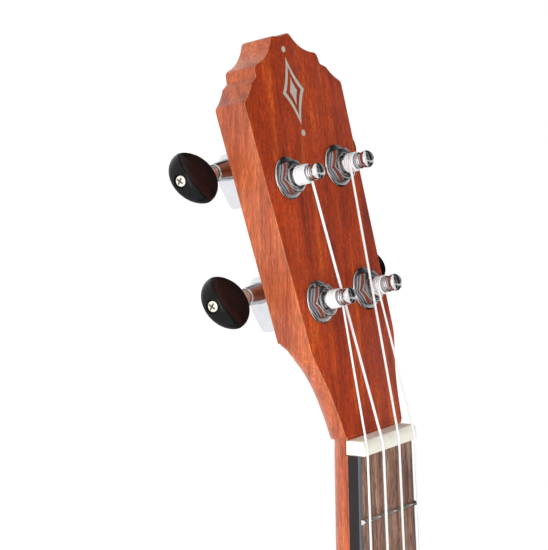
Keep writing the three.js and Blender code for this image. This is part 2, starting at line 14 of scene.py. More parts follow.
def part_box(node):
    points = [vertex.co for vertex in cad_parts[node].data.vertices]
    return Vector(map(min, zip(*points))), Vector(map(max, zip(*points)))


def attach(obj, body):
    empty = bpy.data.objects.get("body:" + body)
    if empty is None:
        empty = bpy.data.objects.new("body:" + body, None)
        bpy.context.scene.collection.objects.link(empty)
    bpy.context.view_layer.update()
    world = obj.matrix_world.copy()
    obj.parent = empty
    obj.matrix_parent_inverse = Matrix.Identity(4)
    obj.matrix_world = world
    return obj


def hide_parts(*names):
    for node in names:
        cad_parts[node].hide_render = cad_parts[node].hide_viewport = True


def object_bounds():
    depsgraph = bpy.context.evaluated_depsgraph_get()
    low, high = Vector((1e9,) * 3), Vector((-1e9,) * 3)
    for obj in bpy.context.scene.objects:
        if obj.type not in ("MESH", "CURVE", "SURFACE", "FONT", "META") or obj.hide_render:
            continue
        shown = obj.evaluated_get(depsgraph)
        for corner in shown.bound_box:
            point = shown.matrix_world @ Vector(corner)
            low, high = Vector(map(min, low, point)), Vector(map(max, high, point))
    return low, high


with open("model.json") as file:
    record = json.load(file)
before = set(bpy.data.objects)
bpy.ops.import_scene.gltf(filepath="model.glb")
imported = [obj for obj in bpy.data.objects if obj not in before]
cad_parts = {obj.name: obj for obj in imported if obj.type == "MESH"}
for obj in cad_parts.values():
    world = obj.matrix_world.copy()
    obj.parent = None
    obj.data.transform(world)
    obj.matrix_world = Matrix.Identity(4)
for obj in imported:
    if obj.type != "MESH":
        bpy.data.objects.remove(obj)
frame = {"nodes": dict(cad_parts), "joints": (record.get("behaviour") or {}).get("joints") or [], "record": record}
scene = bpy.context.scene
CAD_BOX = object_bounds()


class Sizes:
    """Sizes that have names."""

    def __init__(self, **sizes):
        vars(self).update(sizes)


# --- driving dimensions
MM = 0.001
SCALE_LENGTH = 430
FRET_COUNT = 18
BODY_FRET = 14
NUT = Sizes(half=17.6, length=5.6, crest=2.1, seat=6.2)
BOARD = Sizes(half=17.7, flare=0.024, thick=5.2, length=286, edge=1.6)
FRET = Sizes(half=0.9, top=1.1, bevel=0.8, sunk=0.1)
TANG = Sizes(half=0.25, deep=1.8, inset=1.6)
FACE_DOT, SIDE_DOT = 2.5, 0.8
FACE_DOTS = {5: (0,), 7: (0,), 10: (0,), 12: (-8, 8), 15: (0,)}  # places across the board, by fret

HEAD_START = (4.9, 6.4)  # behind the fretboard's face and up the neck, where the headstock's face starts
HEAD = Sizes(thick=13.8, half=25.7, flare=0.0455, edge=0.45, back_edge=0.9)
EAR_UP, SHOULDER_UP, CROWN_UP = 40, 126, 147.6
INLAY = Sizes(up=126.5, deep=0.6, proud=0.04, outer=(6.8, 12.6), gap=(4.8, 9.4), core=(2.3, 5.2),
              dot=1.15, dot_gap=15.6)

NECK = Sizes(depth=12.2, growth=0.015, heel=46, heel_foot=9)
BODY = Sizes(length=296, back=74, plate=2, edge=0.9)
SOUND_HOLE = Sizes(radius=30, drop=96)
# each of the rosette's rings has a radius and half a width
ROSETTE = {"cream": [(32.5, 0.5), (36.3, 0.9), (40.1, 0.5)], "dark": [(34.2, 1.2), (38.4, 1.2)]}
BRACE = Sizes(half=3, deep=8, reach=62, taper=14, ends=0.35)
BRACES = Sizes(soundboard=(-58, -136), back=(-70, -136, -216))  # below the body's top
BRIDGE_PLATE = Sizes(half=52, low=-18, high=12)  # from the saddle's line

PITCH = Sizes(nut=10.5, saddle=14)
RISE = Sizes(nut=2.1, saddle=6.8)
NUT_BEND = 2.4
STRING_RADII = {"g": 0.42, "c": 0.52, "e": 0.47, "a": 0.42}
BRIDGE = Sizes(half=44, low=-5.2, top=3.4, front=9, back=17)
SADDLE = Sizes(half=33, half_thick=1.3, low=-1.4)

POST = Sizes(radius=3, barrel=2.6, cap=3.2, top=15.7)
WINDING = Sizes(rise=7.8, turns_below=3.1, turns_above=1.7)
BUSHING = Sizes(radius=4.5, foot=-7, seat=1.4, top=4.2, flats=11.6)
WASHER = Sizes(radius=8, thick=1.4)
HOUSING = Sizes(half=7, low=-6.6, high=13.8, foot=9.4, deep=12.2, crown=8.6, flat=(3, 9.5),
                wall=1.1, collar=4, sleeve=16.4)
WORM = Sizes(deep=19.7, radius=2.2)
SHAFT = Sizes(radius=1.7, start=-5.5, end=16.7, flange=2.6, seat=20.2, tip_radius=1.2, tip=28)
THREAD = Sizes(count=5, pitch=1.7)
GEAR = Sizes(teeth=14, outer=5.5, root=4.5, half=2)
BUTTON = Sizes(out=29, across=10.5, along=8.6, half=4.0)
SCREW = Sizes(head=2.4, shank=0.9, sunk=1.4, high=1.2, slot_reach=1.45, slot_half=0.3)
CLEARANCE = 0.2  # round what turns in a bore
BUTTON_TURN = {"g": 22, "c": 25, "e": 25, "a": 45}  # how far its broad faces lean up from the headstock's

# --- frames
X_AXIS, Y_AXIS, Z_AXIS = Vector((1, 0, 0)), Vector((0, 1, 0)), Vector((0, 0, 1))
RECORD = frame["record"]
JOINTS = {joint["name"]: joint for joint in frame["joints"]}
BODY_OF = {node: body for body, nodes in RECORD["behaviour"]["bodies"].items() for node in nodes}


def basis(origin, across, along, out):
    """A matrix from millimetres in a local frame to metres in the part's frame."""
    axes = Matrix((across, along, out)).transposed().to_4x4()
    return Matrix.Translation(origin) @ axes @ Matrix.Scale(MM, 4)


BOARD_LOW, BOARD_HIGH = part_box("fretboard")
NECK_ORIGIN = Vector((0, BOARD_LOW.y, BOARD_HIGH.z))
HEAD_OUT = Vector(JOINTS["post_turn_g"]["axis"]).normalized()
HEAD_UP = HEAD_OUT.cross(X_AXIS)
HEAD_ORIGIN = NECK_ORIGIN + MM * Vector((0, *HEAD_START))
HEAD_LEAN = atan2(HEAD_UP.y, HEAD_UP.z)

NECK_FRAME = basis(NECK_ORIGIN, X_AXIS, Y_AXIS, Z_AXIS)  # y into the neck, z up it
PLAN_FRAME = basis(NECK_ORIGIN, X_AXIS, Z_AXIS, -Y_AXIS)  # y up the neck, z out of the front
HEAD_FRAME = basis(HEAD_ORIGIN, X_AXIS, HEAD_UP, HEAD_OUT)  # y up the headstock, z out of its face


class Tuner:
    """Where one tuner stands, from its joints."""

    def __init__(self, name):
        post = Vector(JOINTS[f"post_turn_{name}"]["pos_m"])
        self.name = name
        self.side = 1 if post.x > 0 else -1
        self.out = abs(post.x) / MM
        self.up = (post - HEAD_ORIGIN).dot(HEAD_UP) / MM
        self.frame = basis(post, X_AXIS, HEAD_UP, HEAD_OUT)
        shaft = Vector(JOINTS[f"button_turn_{name}"]["pos_m"])
        outward = X_AXIS * self.side
        self.shaft_frame = basis(shaft, HEAD_UP.cross(outward), HEAD_UP, outward)  # z along the shaft
        self.string_radius = STRING_RADII[name]
        self.place = list(STRING_RADII).index(name) - 1.5


TUNERS = [Tuner(name) for name in STRING_RADII]


def fret_drop(number):
    return SCALE_LENGTH * (1 - 2 ** (-number / 12))


def board_half(drop):
    return BOARD.half + BOARD.flare * drop


def head_half(up):
    return HEAD.half + HEAD.flare * up


BODY_TOP = -fret_drop(BODY_FRET)


# --- mesh tools
CREASE = 32  # degrees


def soften(obj, angle=CREASE):
    """Smooth shading, with a crease at each edge sharper than angle degrees."""
    shape = bmesh.new()
    shape.from_mesh(obj.data)
    bmesh.ops.remove_doubles(shape, verts=shape.verts, dist=1e-7)
    bmesh.ops.recalc_face_normals(shape, faces=shape.faces)
    for face in shape.faces:
        face.smooth = True
    for edge in shape.edges:
        edge.smooth = edge.calc_face_angle(0) < radians(angle)
    shape.to_mesh(obj.data)
    shape.free()
    return obj


def make(name, shape, matrix, angle=CREASE):
    """An object from (vertices, faces) in a local frame."""
    vertices, faces = shape
    mesh = bpy.data.meshes.new(name)
    mesh.from_pydata([matrix @ Vector(vertex) for vertex in vertices], [], faces)
    obj = bpy.data.objects.new(name, mesh)
    scene.collection.objects.link(obj)
    return soften(obj, angle)


def bake_modifiers(obj, angle=CREASE):
    graph = bpy.context.evaluated_depsgraph_get()
    mesh = bpy.data.meshes.new_from_object(obj.evaluated_get(graph))
    obj.modifiers.clear()
    obj.data = mesh
    return soften(obj, angle)


def combine(obj, shapes, operation="DIFFERENCE", angle=CREASE):
    """Joins or cuts obj with solids given as (shape, matrix)."""
    others = [make("tool", shape, matrix) for shape, matrix in shapes]
    for other in others:
        modifier = obj.modifiers.new(operation.lower(), "BOOLEAN")
        modifier.operation = operation
        modifier.solver = "MANIFOLD"
        modifier.object = other
    bake_modifiers(obj, angle)
    for other in others:
        bpy.data.objects.remove(other)
    return obj


def bevel(obj, width):
    modifier = obj.modifiers.new("bevel", "BEVEL")
    modifier.width = width * MM
    modifier.segments = 2
    modifier.limit_method = "ANGLE"
    modifier.angle_limit = radians(40)
    return bake_modifiers(obj)


def curve(start, control, end, steps=10):
    """Points on a quadratic curve, without its first."""
    points = []
    for i in range(1, steps + 1):
        t = i / steps
        weights = ((1 - t) ** 2, 2 * t * (1 - t), t * t)
        columns = zip(start, control, end)
        points.append(tuple(sum(w * value for w, value in zip(weights, column)) for column in columns))
    return points


def eased(points, radius, steps=4, closed=False):
    """A polyline whose corners are rounded by radius."""
    result = []
    count = len(points)
    for i, point in enumerate(points):
        if not closed and i in (0, count - 1):
            result.append(tuple(point))
            continue
        here = Vector(point)
        before, after = Vector(points[i - 1]) - here, Vector(points[(i + 1) % count]) - here
        start = here + before.normalized() * min(radius, before.length * 0.45)
        end = here + after.normalized() * min(radius, after.length * 0.45)
        result.append(tuple(start))
        result.extend(curve(start, here, end, steps))
    return result


def polar(radius, angle):
    return radius * cos(angle), radius * sin(angle)


def turned(profile, segments=56):
    """A turned solid about z, from (radius, z) pairs that end on the axis or close on themselves."""
    closed = profile[0] == profile[-1]
    rows = profile[:-1] if closed else profile
    vertices, rings = [], []
    for radius, z in rows:
        if radius < 1e-6:
            rings.append([len(vertices)] * segments)
            vertices.append((0, 0, z))
            continue
        rings.append(list(range(len(vertices), len(vertices) + segments)))
        vertices += [(*polar(radius, 2 * pi * i / segments), z) for i in range(segments)]
    faces = []
    for low, high in zip(rings, rings[1:] + (rings[:1] if closed else [])):
        for i in range(segments):
            j = (i + 1) % segments
            corners = list(dict.fromkeys((low[i], low[j], high[j], high[i])))
            if len(corners) > 2:
                faces.append(corners)
    return vertices, faces


def loft(rings, closed=False):
    """A skin over rings of equally many points, with flat ends, or closed on itself."""
    count = len(rings[0])
    vertices = [point for ring in rings for point in ring]
    faces = []
    for r in range(len(rings) - (0 if closed else 1)):
        start, following = r * count, ((r + 1) % len(rings)) * count
        for i in range(count):
            j = (i + 1) % count
            faces.append((start + i, start + j, following + j, following + i))
    if not closed:
        last = (len(rings) - 1) * count
        faces.append(tuple(range(count - 1, -1, -1)))
        faces.append(tuple(range(last, last + count)))
    return vertices, faces


def inset(outline, amount):
    """A counter-clockwise outline moved inwards."""
    result = []
    for i, (x, y) in enumerate(outline):
        before, after = outline[i - 1], outline[(i + 1) % len(outline)]
        along = Vector((after[0] - before[0], after[1] - before[1])).normalized()
        result.append((x - amount * along.y, y + amount * along.x))
    return result


def slab(outline, low, high, low_edge=0.0, high_edge=0.0, steps=3):
    """An outline in x and y extruded from z = low to high, with rounded edges."""
    rings = []
    for level, edge, way in ((low, low_edge, 1), (high, high_edge, -1)):
        turns = range(steps + 1) if edge else range(1)
        stack = []
        for i in turns:
            angle = 0.5 * pi * i / steps
            margin, height = edge * (1 - sin(angle)), edge * (1 - cos(angle))
            stack.append([(x, y, level + way * height) for x, y in inset(outline, margin)])
        rings.extend(stack if way == 1 else stack[::-1])
    return loft(rings)


def box(low, high):
    (x0, y0, z0), (x1, y1, z1) = low, high
    return slab([(x0, y0), (x1, y0), (x1, y1), (x0, y1)], z0, z1)


def rounded_rectangle(x0, y0, x1, y1, radius, steps=10):
    """A rectangle grown by radius, with round corners."""
    points = []
    for x, y, quarter in ((x1, y0, 3), (x1, y1, 0), (x0, y1, 1), (x0, y0, 2)):
        for i in range(steps + 1):
            dx, dy = polar(radius, 0.5 * pi * (quarter + i / steps))
            points.append((x + dx, y + dy))
    return points


def bar(section, half, edge=0.0):
    """A section in y and z, extruded along x, with rounded ends."""
    vertices, faces = slab(section, -half, half, edge, edge)
    return [(z, x, y) for x, y, z in vertices], faces


def tube(points, radius, sides=12):
    """A round tube along points, with closed ends."""
    route = [Vector(point) for point in points]
    turns = [2 * pi * k / sides for k in range(sides)]
    across = None
    rings = []
    for i, point in enumerate(route):
        along = (route[min(i + 1, len(route) - 1)] - route[max(i - 1, 0)]).normalized()
        if across is None:
            across = along.orthogonal()
        across = (across - along * across.dot(along)).normalized()
        up = along.cross(across)
        rings.append([tuple(point + radius * (cos(turn) * across + sin(turn) * up)) for turn in turns])
    return loft(rings)


def rod(low, high, radius, sides=32):
    """A round bar along z."""
    return tube([(0, 0, low), (0, 0, high)], radius, sides)


def moved(shape, matrix):
    vertices, faces = shape
    return [tuple(matrix @ Vector(vertex)) for vertex in vertices], faces


def shifted(shape, x=0, y=0, z=0):
    return moved(shape, Matrix.Translation((x, y, z)))


def merged(*shapes):
    """Several separate shapes in one mesh."""
    vertices, faces = [], []
    for some, more in shapes:
        start = len(vertices)
        vertices.extend(some)
        faces.extend(tuple(start + index for index in face) for face in more)
    return vertices, faces


def coat(obj, material):
    obj.data.materials.clear()
    obj.data.materials.append(material)


def settle(obj, body, material):
    coat(obj, material)
    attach(obj, body)
    return obj


def stand_for(obj, node, material):
    """obj takes a CAD node's place and body, with the given material."""
    obj.name = f"fine_{node}"
    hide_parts(node)
    return settle(obj, BODY_OF[node], material)


def piece(node, shape, material, matrix=PLAN_FRAME, angle=CREASE):
    """A finer shape in a CAD node's place."""
    return stand_for(make(node, shape, matrix, angle), node, material)


def add_on(name, shapes, material, matrix=PLAN_FRAME, body="root", angle=CREASE):
    """A small piece that has no CAD node of its own."""
    return settle(make(f"fine_{name}", merged(*shapes), matrix, angle), body, material)


def paint(obj, material, chosen):
    """Gives another material to the faces that chosen picks."""
    obj.data.materials.append(material)
    index = len(obj.data.materials) - 1
    for face in obj.data.polygons:
        if chosen(face):
            face.material_index = index


# --- material tools
def add(tree, kind, inputs=None, **settings):
    """A shader node with its settings, whose inputs are values or other nodes' outputs."""
    node = tree.nodes.new(f"ShaderNode{kind}")
    for name, value in settings.items():
        setattr(node, name, value)
    for name, value in (inputs or {}).items():
        socket = node.inputs[name]
        if isinstance(value, bpy.types.NodeSocket):
            tree.links.new(value, socket)
        else:
            socket.default_value = value
    return node


def blank(name, **sockets):
    material = bpy.data.materials.new(name)
    material.use_nodes = True
    tree = material.node_tree
    shader = tree.nodes["Principled BSDF"]
    for socket, value in sockets.items():
        shader.inputs[socket.replace("_", " ").title().replace("Ior", "IOR")].default_value = value
    return material, tree, shader


def mix(tree, factor, first, second, blend="MIX"):
    node = add(tree, "Mix", {0: factor, 6: first, 7: second}, data_type="RGBA", blend_type=blend)
    return node.outputs[2]


def ramp(tree, value, stops, smooth=False):
    """A colour ramp, from stops of (position, colour or level of grey)."""
    node = add(tree, "ValToRGB", {"Fac": value})
    if smooth:
        node.color_ramp.interpolation = "EASE"
    elements = node.color_ramp.elements
    while len(elements) < len(stops):
        elements.new(0.5)
    for element, (position, color) in zip(elements, stops):
        element.position = position
        element.color = (*color, 1) if isinstance(color, tuple) else (color, color, color, 1)
    return node.outputs["Color"]


def noise(tree, source, marks, detail=3.0, roughness=0.5, distortion=0.0):
    """Noise whose marks have their size in millimetres along each axis."""
    scale = tuple(1 / (MM * mark) for mark in marks)
    place = add(tree, "Mapping", {"Vector": source, "Scale": scale}).outputs["Vector"]
    inputs = {"Vector": place, "Scale": 1.0, "Detail": detail, "Roughness": roughness}
    return add(tree, "TexNoise", {**inputs, "Distortion": distortion}).outputs["Fac"]


def bump(tree, shader, height, distance, strength):
    inputs = {"Height": height, "Distance": distance * MM, "Strength": strength}
    tree.links.new(add(tree, "Bump", inputs).outputs["Normal"], shader.inputs["Normal"])


def coordinates(tree, attribute=None):
    if attribute:
        return add(tree, "Attribute", attribute_name=attribute).outputs["Vector"]
    return add(tree, "TexCoord").outputs["Object"]


def wood(name, tones, pore, ribbon, roughness=0.36, gloss=0.2, attribute=None, turn=45, pore_share=0.5,
         lean=0):
    """Open-grained wood whose grain runs along z, or along x with a lean of -90, and whose tones go from dark
    to light. ribbon is a ribbon's thickness across the ring planes, which turn about the grain.
    """
    material, tree, shader = blank(name, specular_ior_level=gloss)
    inputs = {"Vector": coordinates(tree, attribute), "Rotation": (0, radians(lean), radians(turn))}
    place = add(tree, "Mapping", inputs).outputs["Vector"]
    ribbons = noise(tree, place, (ribbon, ribbon * 6, ribbon * 24), 4, 0.6, 0.3)
    fibre = noise(tree, place, (0.5, 1.4, 10), 4, 0.65, 0.15)
    fine = noise(tree, place, (0.24, 0.4, 2.6), 3, 0.6)
    pores = noise(tree, place, (0.3, 0.5, 4.2), 2, 0.4, 0.2)
    figure = noise(tree, place, (11, 14, 26), 2, 0.5, 0.6)
    count = len(tones) - 1
    lines = ramp(tree, fibre, [(0.3, 0.66), (0.5, 0.98), (0.7, 1.34)])
    specks = ramp(tree, fine, [(0.25, 0.62), (0.75, 1.42)])
    clouds = ramp(tree, figure, [(0.3, (0.86, 0.84, 0.90)), (0.7, (1.13, 1.17, 1.05))])
    base = ramp(tree, ribbons, [(0.32 + 0.36 * i / count, tone) for i, tone in enumerate(tones)])
    for layer in (lines, specks, clouds):
        base = mix(tree, 1.0, base, layer, "MULTIPLY")
    dashes = ramp(tree, pores, [(0.33, 1), (0.43, 0)])
    share = add(tree, "Math", {0: dashes, 1: pore_share}, operation="MULTIPLY").outputs[0]
    tree.links.new(mix(tree, share, base, (*pore, 1)), shader.inputs["Base Color"])
    shine = ramp(tree, fibre, [(0.2, roughness + 0.1), (0.8, roughness - 0.08)])
    tree.links.new(shine, shader.inputs["Roughness"])
    bump(tree, shader, mix(tree, share, lines, (0, 0, 0, 1)), 0.05, 0.5)
    return material


def drifting(tree, shader, place, mark, tints, low, high):
    """A colour, and a roughness between low and high, that drift over the surface."""
    haze = noise(tree, place, (mark, mark, mark), 4, 0.6)
    tree.links.new(ramp(tree, haze, tints), shader.inputs["Base Color"])
    tree.links.new(ramp(tree, haze, [(0.3, low), (0.7, high)]), shader.inputs["Roughness"])


def metal(name, tint, low, high, scratch=0.0):
    """Polished metal with faint turning or polishing lines."""
    material, tree, shader = blank(name, metallic=1.0)
    place = coordinates(tree)
    darker = tuple(0.9 * part for part in tint)
    drifting(tree, shader, place, 6, [(0.25, darker), (0.7, tint)], low, high)
    lines = noise(tree, place, (1.6, 0.16, 1.6), 2)
    bump(tree, shader, lines, 0.01 + scratch, 0.15 + scratch)
    return material


def plastic(name, tint, roughness, **sockets):
    """Moulded or polished plastic with a faint orange-peel surface."""
    material, tree, shader = blank(name, **sockets)
    place = coordinates(tree)
    lighter = tuple(min(1.0, 1.15 * part) for part in tint)
    drifting(tree, shader, place, 5, [(0.3, tint), (0.75, lighter)], roughness * 0.8, roughness * 1.3)
    bump(tree, shader, noise(tree, place, (0.4, 0.4, 0.4), 2), 0.01, 0.3)
    return material


# --- materials
MAHOGANY_TONES = [(0.29, 0.033, 0.012), (0.41, 0.043, 0.008), (0.48, 0.052, 0.007), (0.59, 0.092, 0.011)]
# Tones for a paler, less saturated copy of the mahogany: painted light on the neck's sides, back and coves
LIT_SIDE_TONES = [(0.34, 0.058, 0.020), (0.45, 0.092, 0.032), (0.52, 0.119, 0.042), (0.60, 0.156, 0.061)]
DARK_PORE = (0.08, 0.016, 0.010)
MAHOGANY = wood("mahogany", MAHOGANY_TONES, DARK_PORE, 3.2)
# The same wood made paler and glossier: painted light and sheen for the neck's sides, back and coves
MAHOGANY_LIT_SIDE = wood("mahogany_edge", LIT_SIDE_TONES, (0.20, 0.045, 0.022), 3.2, gloss=0.38)
# A paler mahogany for the rounded front edges of the headstock and neck: a painted highlight
MAHOGANY_PAINTED_HIGHLIGHT = wood("mahogany_worn", [(0.52, 0.17, 0.075), (0.66, 0.26, 0.12)], (0.30, 0.08, 0.04), 3.2)
BODY_MAHOGANY = wood("body_mahogany", MAHOGANY_TONES, DARK_PORE, 6)
SIDE_MAHOGANY = wood("side_mahogany", MAHOGANY_TONES, DARK_PORE, 5, attribute="grain", turn=0)
ROSEWOOD_TONES = [(0.10, 0.042, 0.036), (0.29, 0.150, 0.105), (0.48, 0.29, 0.21)]
ROSEWOOD_PORE = (0.030, 0.012, 0.010)
ROSEWOOD = wood("rosewood", ROSEWOOD_TONES, ROSEWOOD_PORE, 1.5, 0.45, pore_share=0.8)
BRIDGE_ROSEWOOD = wood("bridge_rosewood", ROSEWOOD_TONES, ROSEWOOD_PORE, 1.5, 0.45, pore_share=0.8, lean=-90)
RAW_TONES = [(0.50, 0.33, 0.19), (0.62, 0.44, 0.27)]
RAW_WOOD = wood("raw_wood", RAW_TONES, (0.35, 0.22, 0.12), 3, 0.7, pore_share=0.2, lean=-90)
EDGE_BLACK = plastic("edge_black", (0.022, 0.016, 0.017), 0.4, specular_ior_level=0.2)
# A blue-grey for the fretboard's rounded edges: a painted sheen over the black stain
EDGE_SHEEN_GREY = plastic("edge_grey", (0.095, 0.107, 0.117), 0.4, specular_ior_level=0.3)
BONE = plastic("bone", (0.97, 0.90, 0.77), 0.32, subsurface_weight=0.12, subsurface_scale=0.002)
PEARL = plastic("pearl", (0.75, 0.76, 0.72), 0.22, coat_weight=0.5)
INLAY_SILVER = plastic("inlay_silver", (0.52, 0.49, 0.42), 0.3, coat_weight=0.2)
NICKEL_SILVER = metal("nickel_silver", (0.72, 0.70, 0.65), 0.16, 0.3)
CHROME = metal("chrome", (0.66, 0.67, 0.70), 0.03, 0.08)
SOFT_CHROME = metal("soft_chrome", (0.66, 0.65, 0.66), 0.12, 0.2)
# A darker copy of the chrome for the washers, bushings and housing collars: a painted dark reflection
CHROME_PAINTED_DARK = metal("dark_chrome", (0.55, 0.54, 0.55), 0.15, 0.24)
STEEL = metal("steel", (0.86, 0.83, 0.75), 0.38, 0.5, scratch=0.02)
SCREW_NICKEL = metal("screw_nickel", (0.88, 0.84, 0.74), 0.18, 0.3)
BUTTON_BLACK = plastic("button_black", (0.005, 0.005, 0.006), 0.24, specular_ior_level=0.13)
# A dark brown for the cross recess in each screw's head: painted shade
RECESS_SHADE = plastic("screw_recess", (0.07, 0.05, 0.035), 0.6)
NYLON = plastic("nylon", (0.93, 0.93, 0.91), 0.28, subsurface_weight=0.25, subsurface_scale=0.001)


# --- camera, light and floor
VIEW = Sizes(azimuth=-55.38, elevation=9.58, roll=-2.13, distance=1575.8, lens=282.87)
AIM = Vector((-8.9, 24.3, 38.3)) * MM
DARK_CARD = Vector((0.80, -0.58, 0.12))  # the side that sends less light onto the instrument
DARK_ROOM = Vector((0.75, -0.65, 0.10))  # the unlit side behind the camera, which the chrome mirrors


def look_in(name, data, azimuth, elevation, distance, roll=0.0):
    """A camera or a light that points at the instrument; azimuth 0 is in front, at -Y, and 90 at +X."""
    a, e = radians(azimuth), radians(elevation)
    towards = Vector((sin(a) * cos(e), -cos(a) * cos(e), sin(e)))
    obj = bpy.data.objects.new(name, data)
    scene.collection.objects.link(obj)
    turn = (-towards).to_track_quat("-Z", "Y").to_matrix().to_4x4()
    rolled = turn @ Matrix.Rotation(radians(roll), 4, "Z")
    obj.matrix_world = Matrix.Translation(AIM + towards * distance * MM) @ rolled
    return obj


def make_camera():
    data = bpy.data.cameras.new("camera")
    data.lens = VIEW.lens
    data.clip_end = 100
    scene.camera = look_in("camera", data, VIEW.azimuth, VIEW.elevation, VIEW.distance, VIEW.roll)


def make_light():
    """A tall, narrow light on the left."""
    data = bpy.data.lights.new("strip_left", "AREA")
    data.shape = "RECTANGLE"
    data.size, data.size_y = 0.3, 1.6
    data.energy = 9
    look_in("strip_left", data, -80, 5, 1600)


def make_world():
    """A white studio with a dim ceiling and a dimmer side; chrome mirrors a dark room with a bright table."""
    world = bpy.data.worlds.new("studio")
    world.use_nodes = True
    scene.world = world
    tree = world.node_tree
    background = tree.nodes["Background"]
    place = add(tree, "TexCoord").outputs["Generated"]
    rays = add(tree, "LightPath").outputs

    def shade(towards, *stops):
        """Light that depends on how closely a direction follows another, from stops of (closeness, level)."""
        sides = {0: place, 1: towards.normalized()}
        facing = add(tree, "VectorMath", sides, operation="DOT_PRODUCT").outputs["Value"]
        return ramp(tree, facing, stops, smooth=True)

    ceiling = shade(Z_AXIS, (0.25, 1.0), (0.85, 0.35))
    light = mix(tree, 1.0, shade(DARK_CARD, (0.3, 1.0), (0.8, 0.45)), ceiling, "MULTIPLY")
    waves = add(tree, "TexWave", {"Vector": place, "Scale": 0.5}).outputs["Fac"]
    strips = ramp(tree, waves, [(0.72, 0.02), (0.96, 0.3)])
    table = shade(-Z_AXIS, (0.0, 0.0), (0.1, 0.75), (0.2, 0.55), (0.3, 0.0))
    dark_room = mix(tree, 1.0, strips, table, "ADD")
    mirrored = mix(tree, shade(DARK_ROOM, (0.06, 1.0), (0.34, 0.0)), dark_room, (1, 1, 1, 1))
    unseen = mix(tree, rays["Is Glossy Ray"], light, mirrored)
    tree.links.new(mix(tree, rays["Is Camera Ray"], unseen, (1, 1, 1, 1)), background.inputs["Color"])
    background.inputs["Strength"].default_value = 1.25


def make_floor():
    span, high = 14, CAD_BOX[0].z - 0.0005
    floor = make("floor", box((-span, -span, high - 0.02), (span, span, high)), Matrix.Identity(4))
    glow = {"emission_color": (1, 1, 1, 1), "emission_strength": 0.45}
    material, tree, shader = blank("floor_paint", roughness=0.8, **glow)
    drift = noise(tree, coordinates(tree), (1000, 1000, 1000))
    tree.links.new(ramp(tree, drift, [(0.3, 0.90), (0.7, 0.94)]), shader.inputs["Base Color"])
    floor.data.materials.append(material)
    floor.visible_glossy = False  # chrome shows the dark room below its horizon, too


make_camera()
make_world()
make_floor()
make_light()
scene.view_settings.view_transform = "Standard"


# --- neck and headstock
def head_outline():
    """The headstock above its ears: straight sides, slanted shoulders, a step, a cove and a crown."""
    shoulder = head_half(SHOULDER_UP)
    right = [(head_half(EAR_UP - 1), EAR_UP - 1), (shoulder, SHOULDER_UP - 0.8)]
    right += curve(right[-1], (shoulder, SHOULDER_UP + 0.4), (shoulder - 1.4, SHOULDER_UP + 1.2), 5)
    right += curve(right[-1], (26.6, 129.3), (24.2, 132.7), 8)
    right.append((21.2, 134.1))
    right += curve(right[-1], (20.8, 134.3), (20.7, 135), 3)
    right.append((20.3, 137.2))
    right += curve(right[-1], (19.9, 138.5), (18.4, 138.9), 5)
    right += curve(right[-1], (10.6, 140.2), (6.2, CROWN_UP - 0.7), 16)
    right += curve(right[-1], (5.4, CROWN_UP + 0.2), (4, CROWN_UP), 5)
    right.append((1.2, CROWN_UP - 0.5))
    return right + [(-x, y) for x, y in reversed(right)]


def neck_ring(half, depth, squareness, y, z, lean, steps=40):
    """One section: flat in front with eased edges, a superellipse behind, leaning back about x."""
    edge = HEAD.edge
    arc = [polar(1, 0.5 * pi * i / 3) for i in range(3)]
    points = [(half - edge + edge * s, edge - edge * c) for c, s in arc]
    for i in range(steps + 1):
        angle = pi * i / steps
        across = cos(angle)
        x = half * copysign(abs(across) ** (2 / squareness), across)
        back = edge + (depth - edge) * max(0.0, sin(angle)) ** (2 / squareness)
        points.append((x, back))
    points += [(-x, back) for x, back in reversed(points[:3])]
    return [(x, y + back * cos(lean), z - back * sin(lean)) for x, back in points]


def between(rows, steps):
    """Rows of numbers with smoothly interpolated rows put between them."""
    result = []
    for i in range(len(rows) - 1):
        p0, p1, p2, p3 = (rows[max(0, min(len(rows) - 1, i + k))] for k in (-1, 0, 1, 2))
        for step in range(steps):
            t = step / steps
            result.append([0.5 * (2 * b + (c - a) * t + (2 * a - 5 * b + 4 * c - d) * t * t
                                  + (3 * b - a - 3 * c + d) * t ** 3) for a, b, c, d in zip(p0, p1, p2, p3)])
    result.append(list(rows[-1]))
    return result


def neck_shape():
    thick = BOARD.thick
    shaft_depth = lambda z: NECK.depth - NECK.growth * z
    heel_depth = BODY.back - thick - NECK.heel_foot
    rings = []
    for i in range(25):
        share = i / 24
        z = BODY_TOP + NECK.heel * share
        sweep = (1 - share) ** 2.6
        half = board_half(-z) * (1 - 0.12 * sweep)
        depth = shaft_depth(z) + (heel_depth - shaft_depth(z)) * sweep
        rings.append(neck_ring(half, depth, 2.2 + 0.5 * sweep, thick, z, 0))
    for z in (-150, -95, -50, -10):
        rings.append(neck_ring(board_half(-z), shaft_depth(z), 2.2, thick, z, 0))
    rows = [(board_half(1), shaft_depth(-1), 2.2, thick, -1, 0)]
    rows.append((NUT.half + 0.5, NECK.depth + 0.2, 2.2, HEAD_START[0] - 0.1, 6, 0.6 * HEAD_LEAN))
    stations = [
        (1, 18.9, 2.2), (8, 20, 2.25), (15, 21.4, 2.35), (20, 22.8, 2.45), (24, 24.2, 2.6), (28, 25.7, 2.9),
        (31, 26.7, 3.5), (34, 27.2, 4.6), (37, 27.4, 8), (EAR_UP, head_half(EAR_UP), 24),
    ]
    for up, half, squareness in stations:
        y = HEAD_START[0] + up * sin(HEAD_LEAN)
        z = HEAD_START[1] + up * cos(HEAD_LEAN)
        rows.append((half, HEAD.thick, squareness, y, z, HEAD_LEAN))
    rings += [neck_ring(*row) for row in between(rows, 4)]
    return loft(rings)


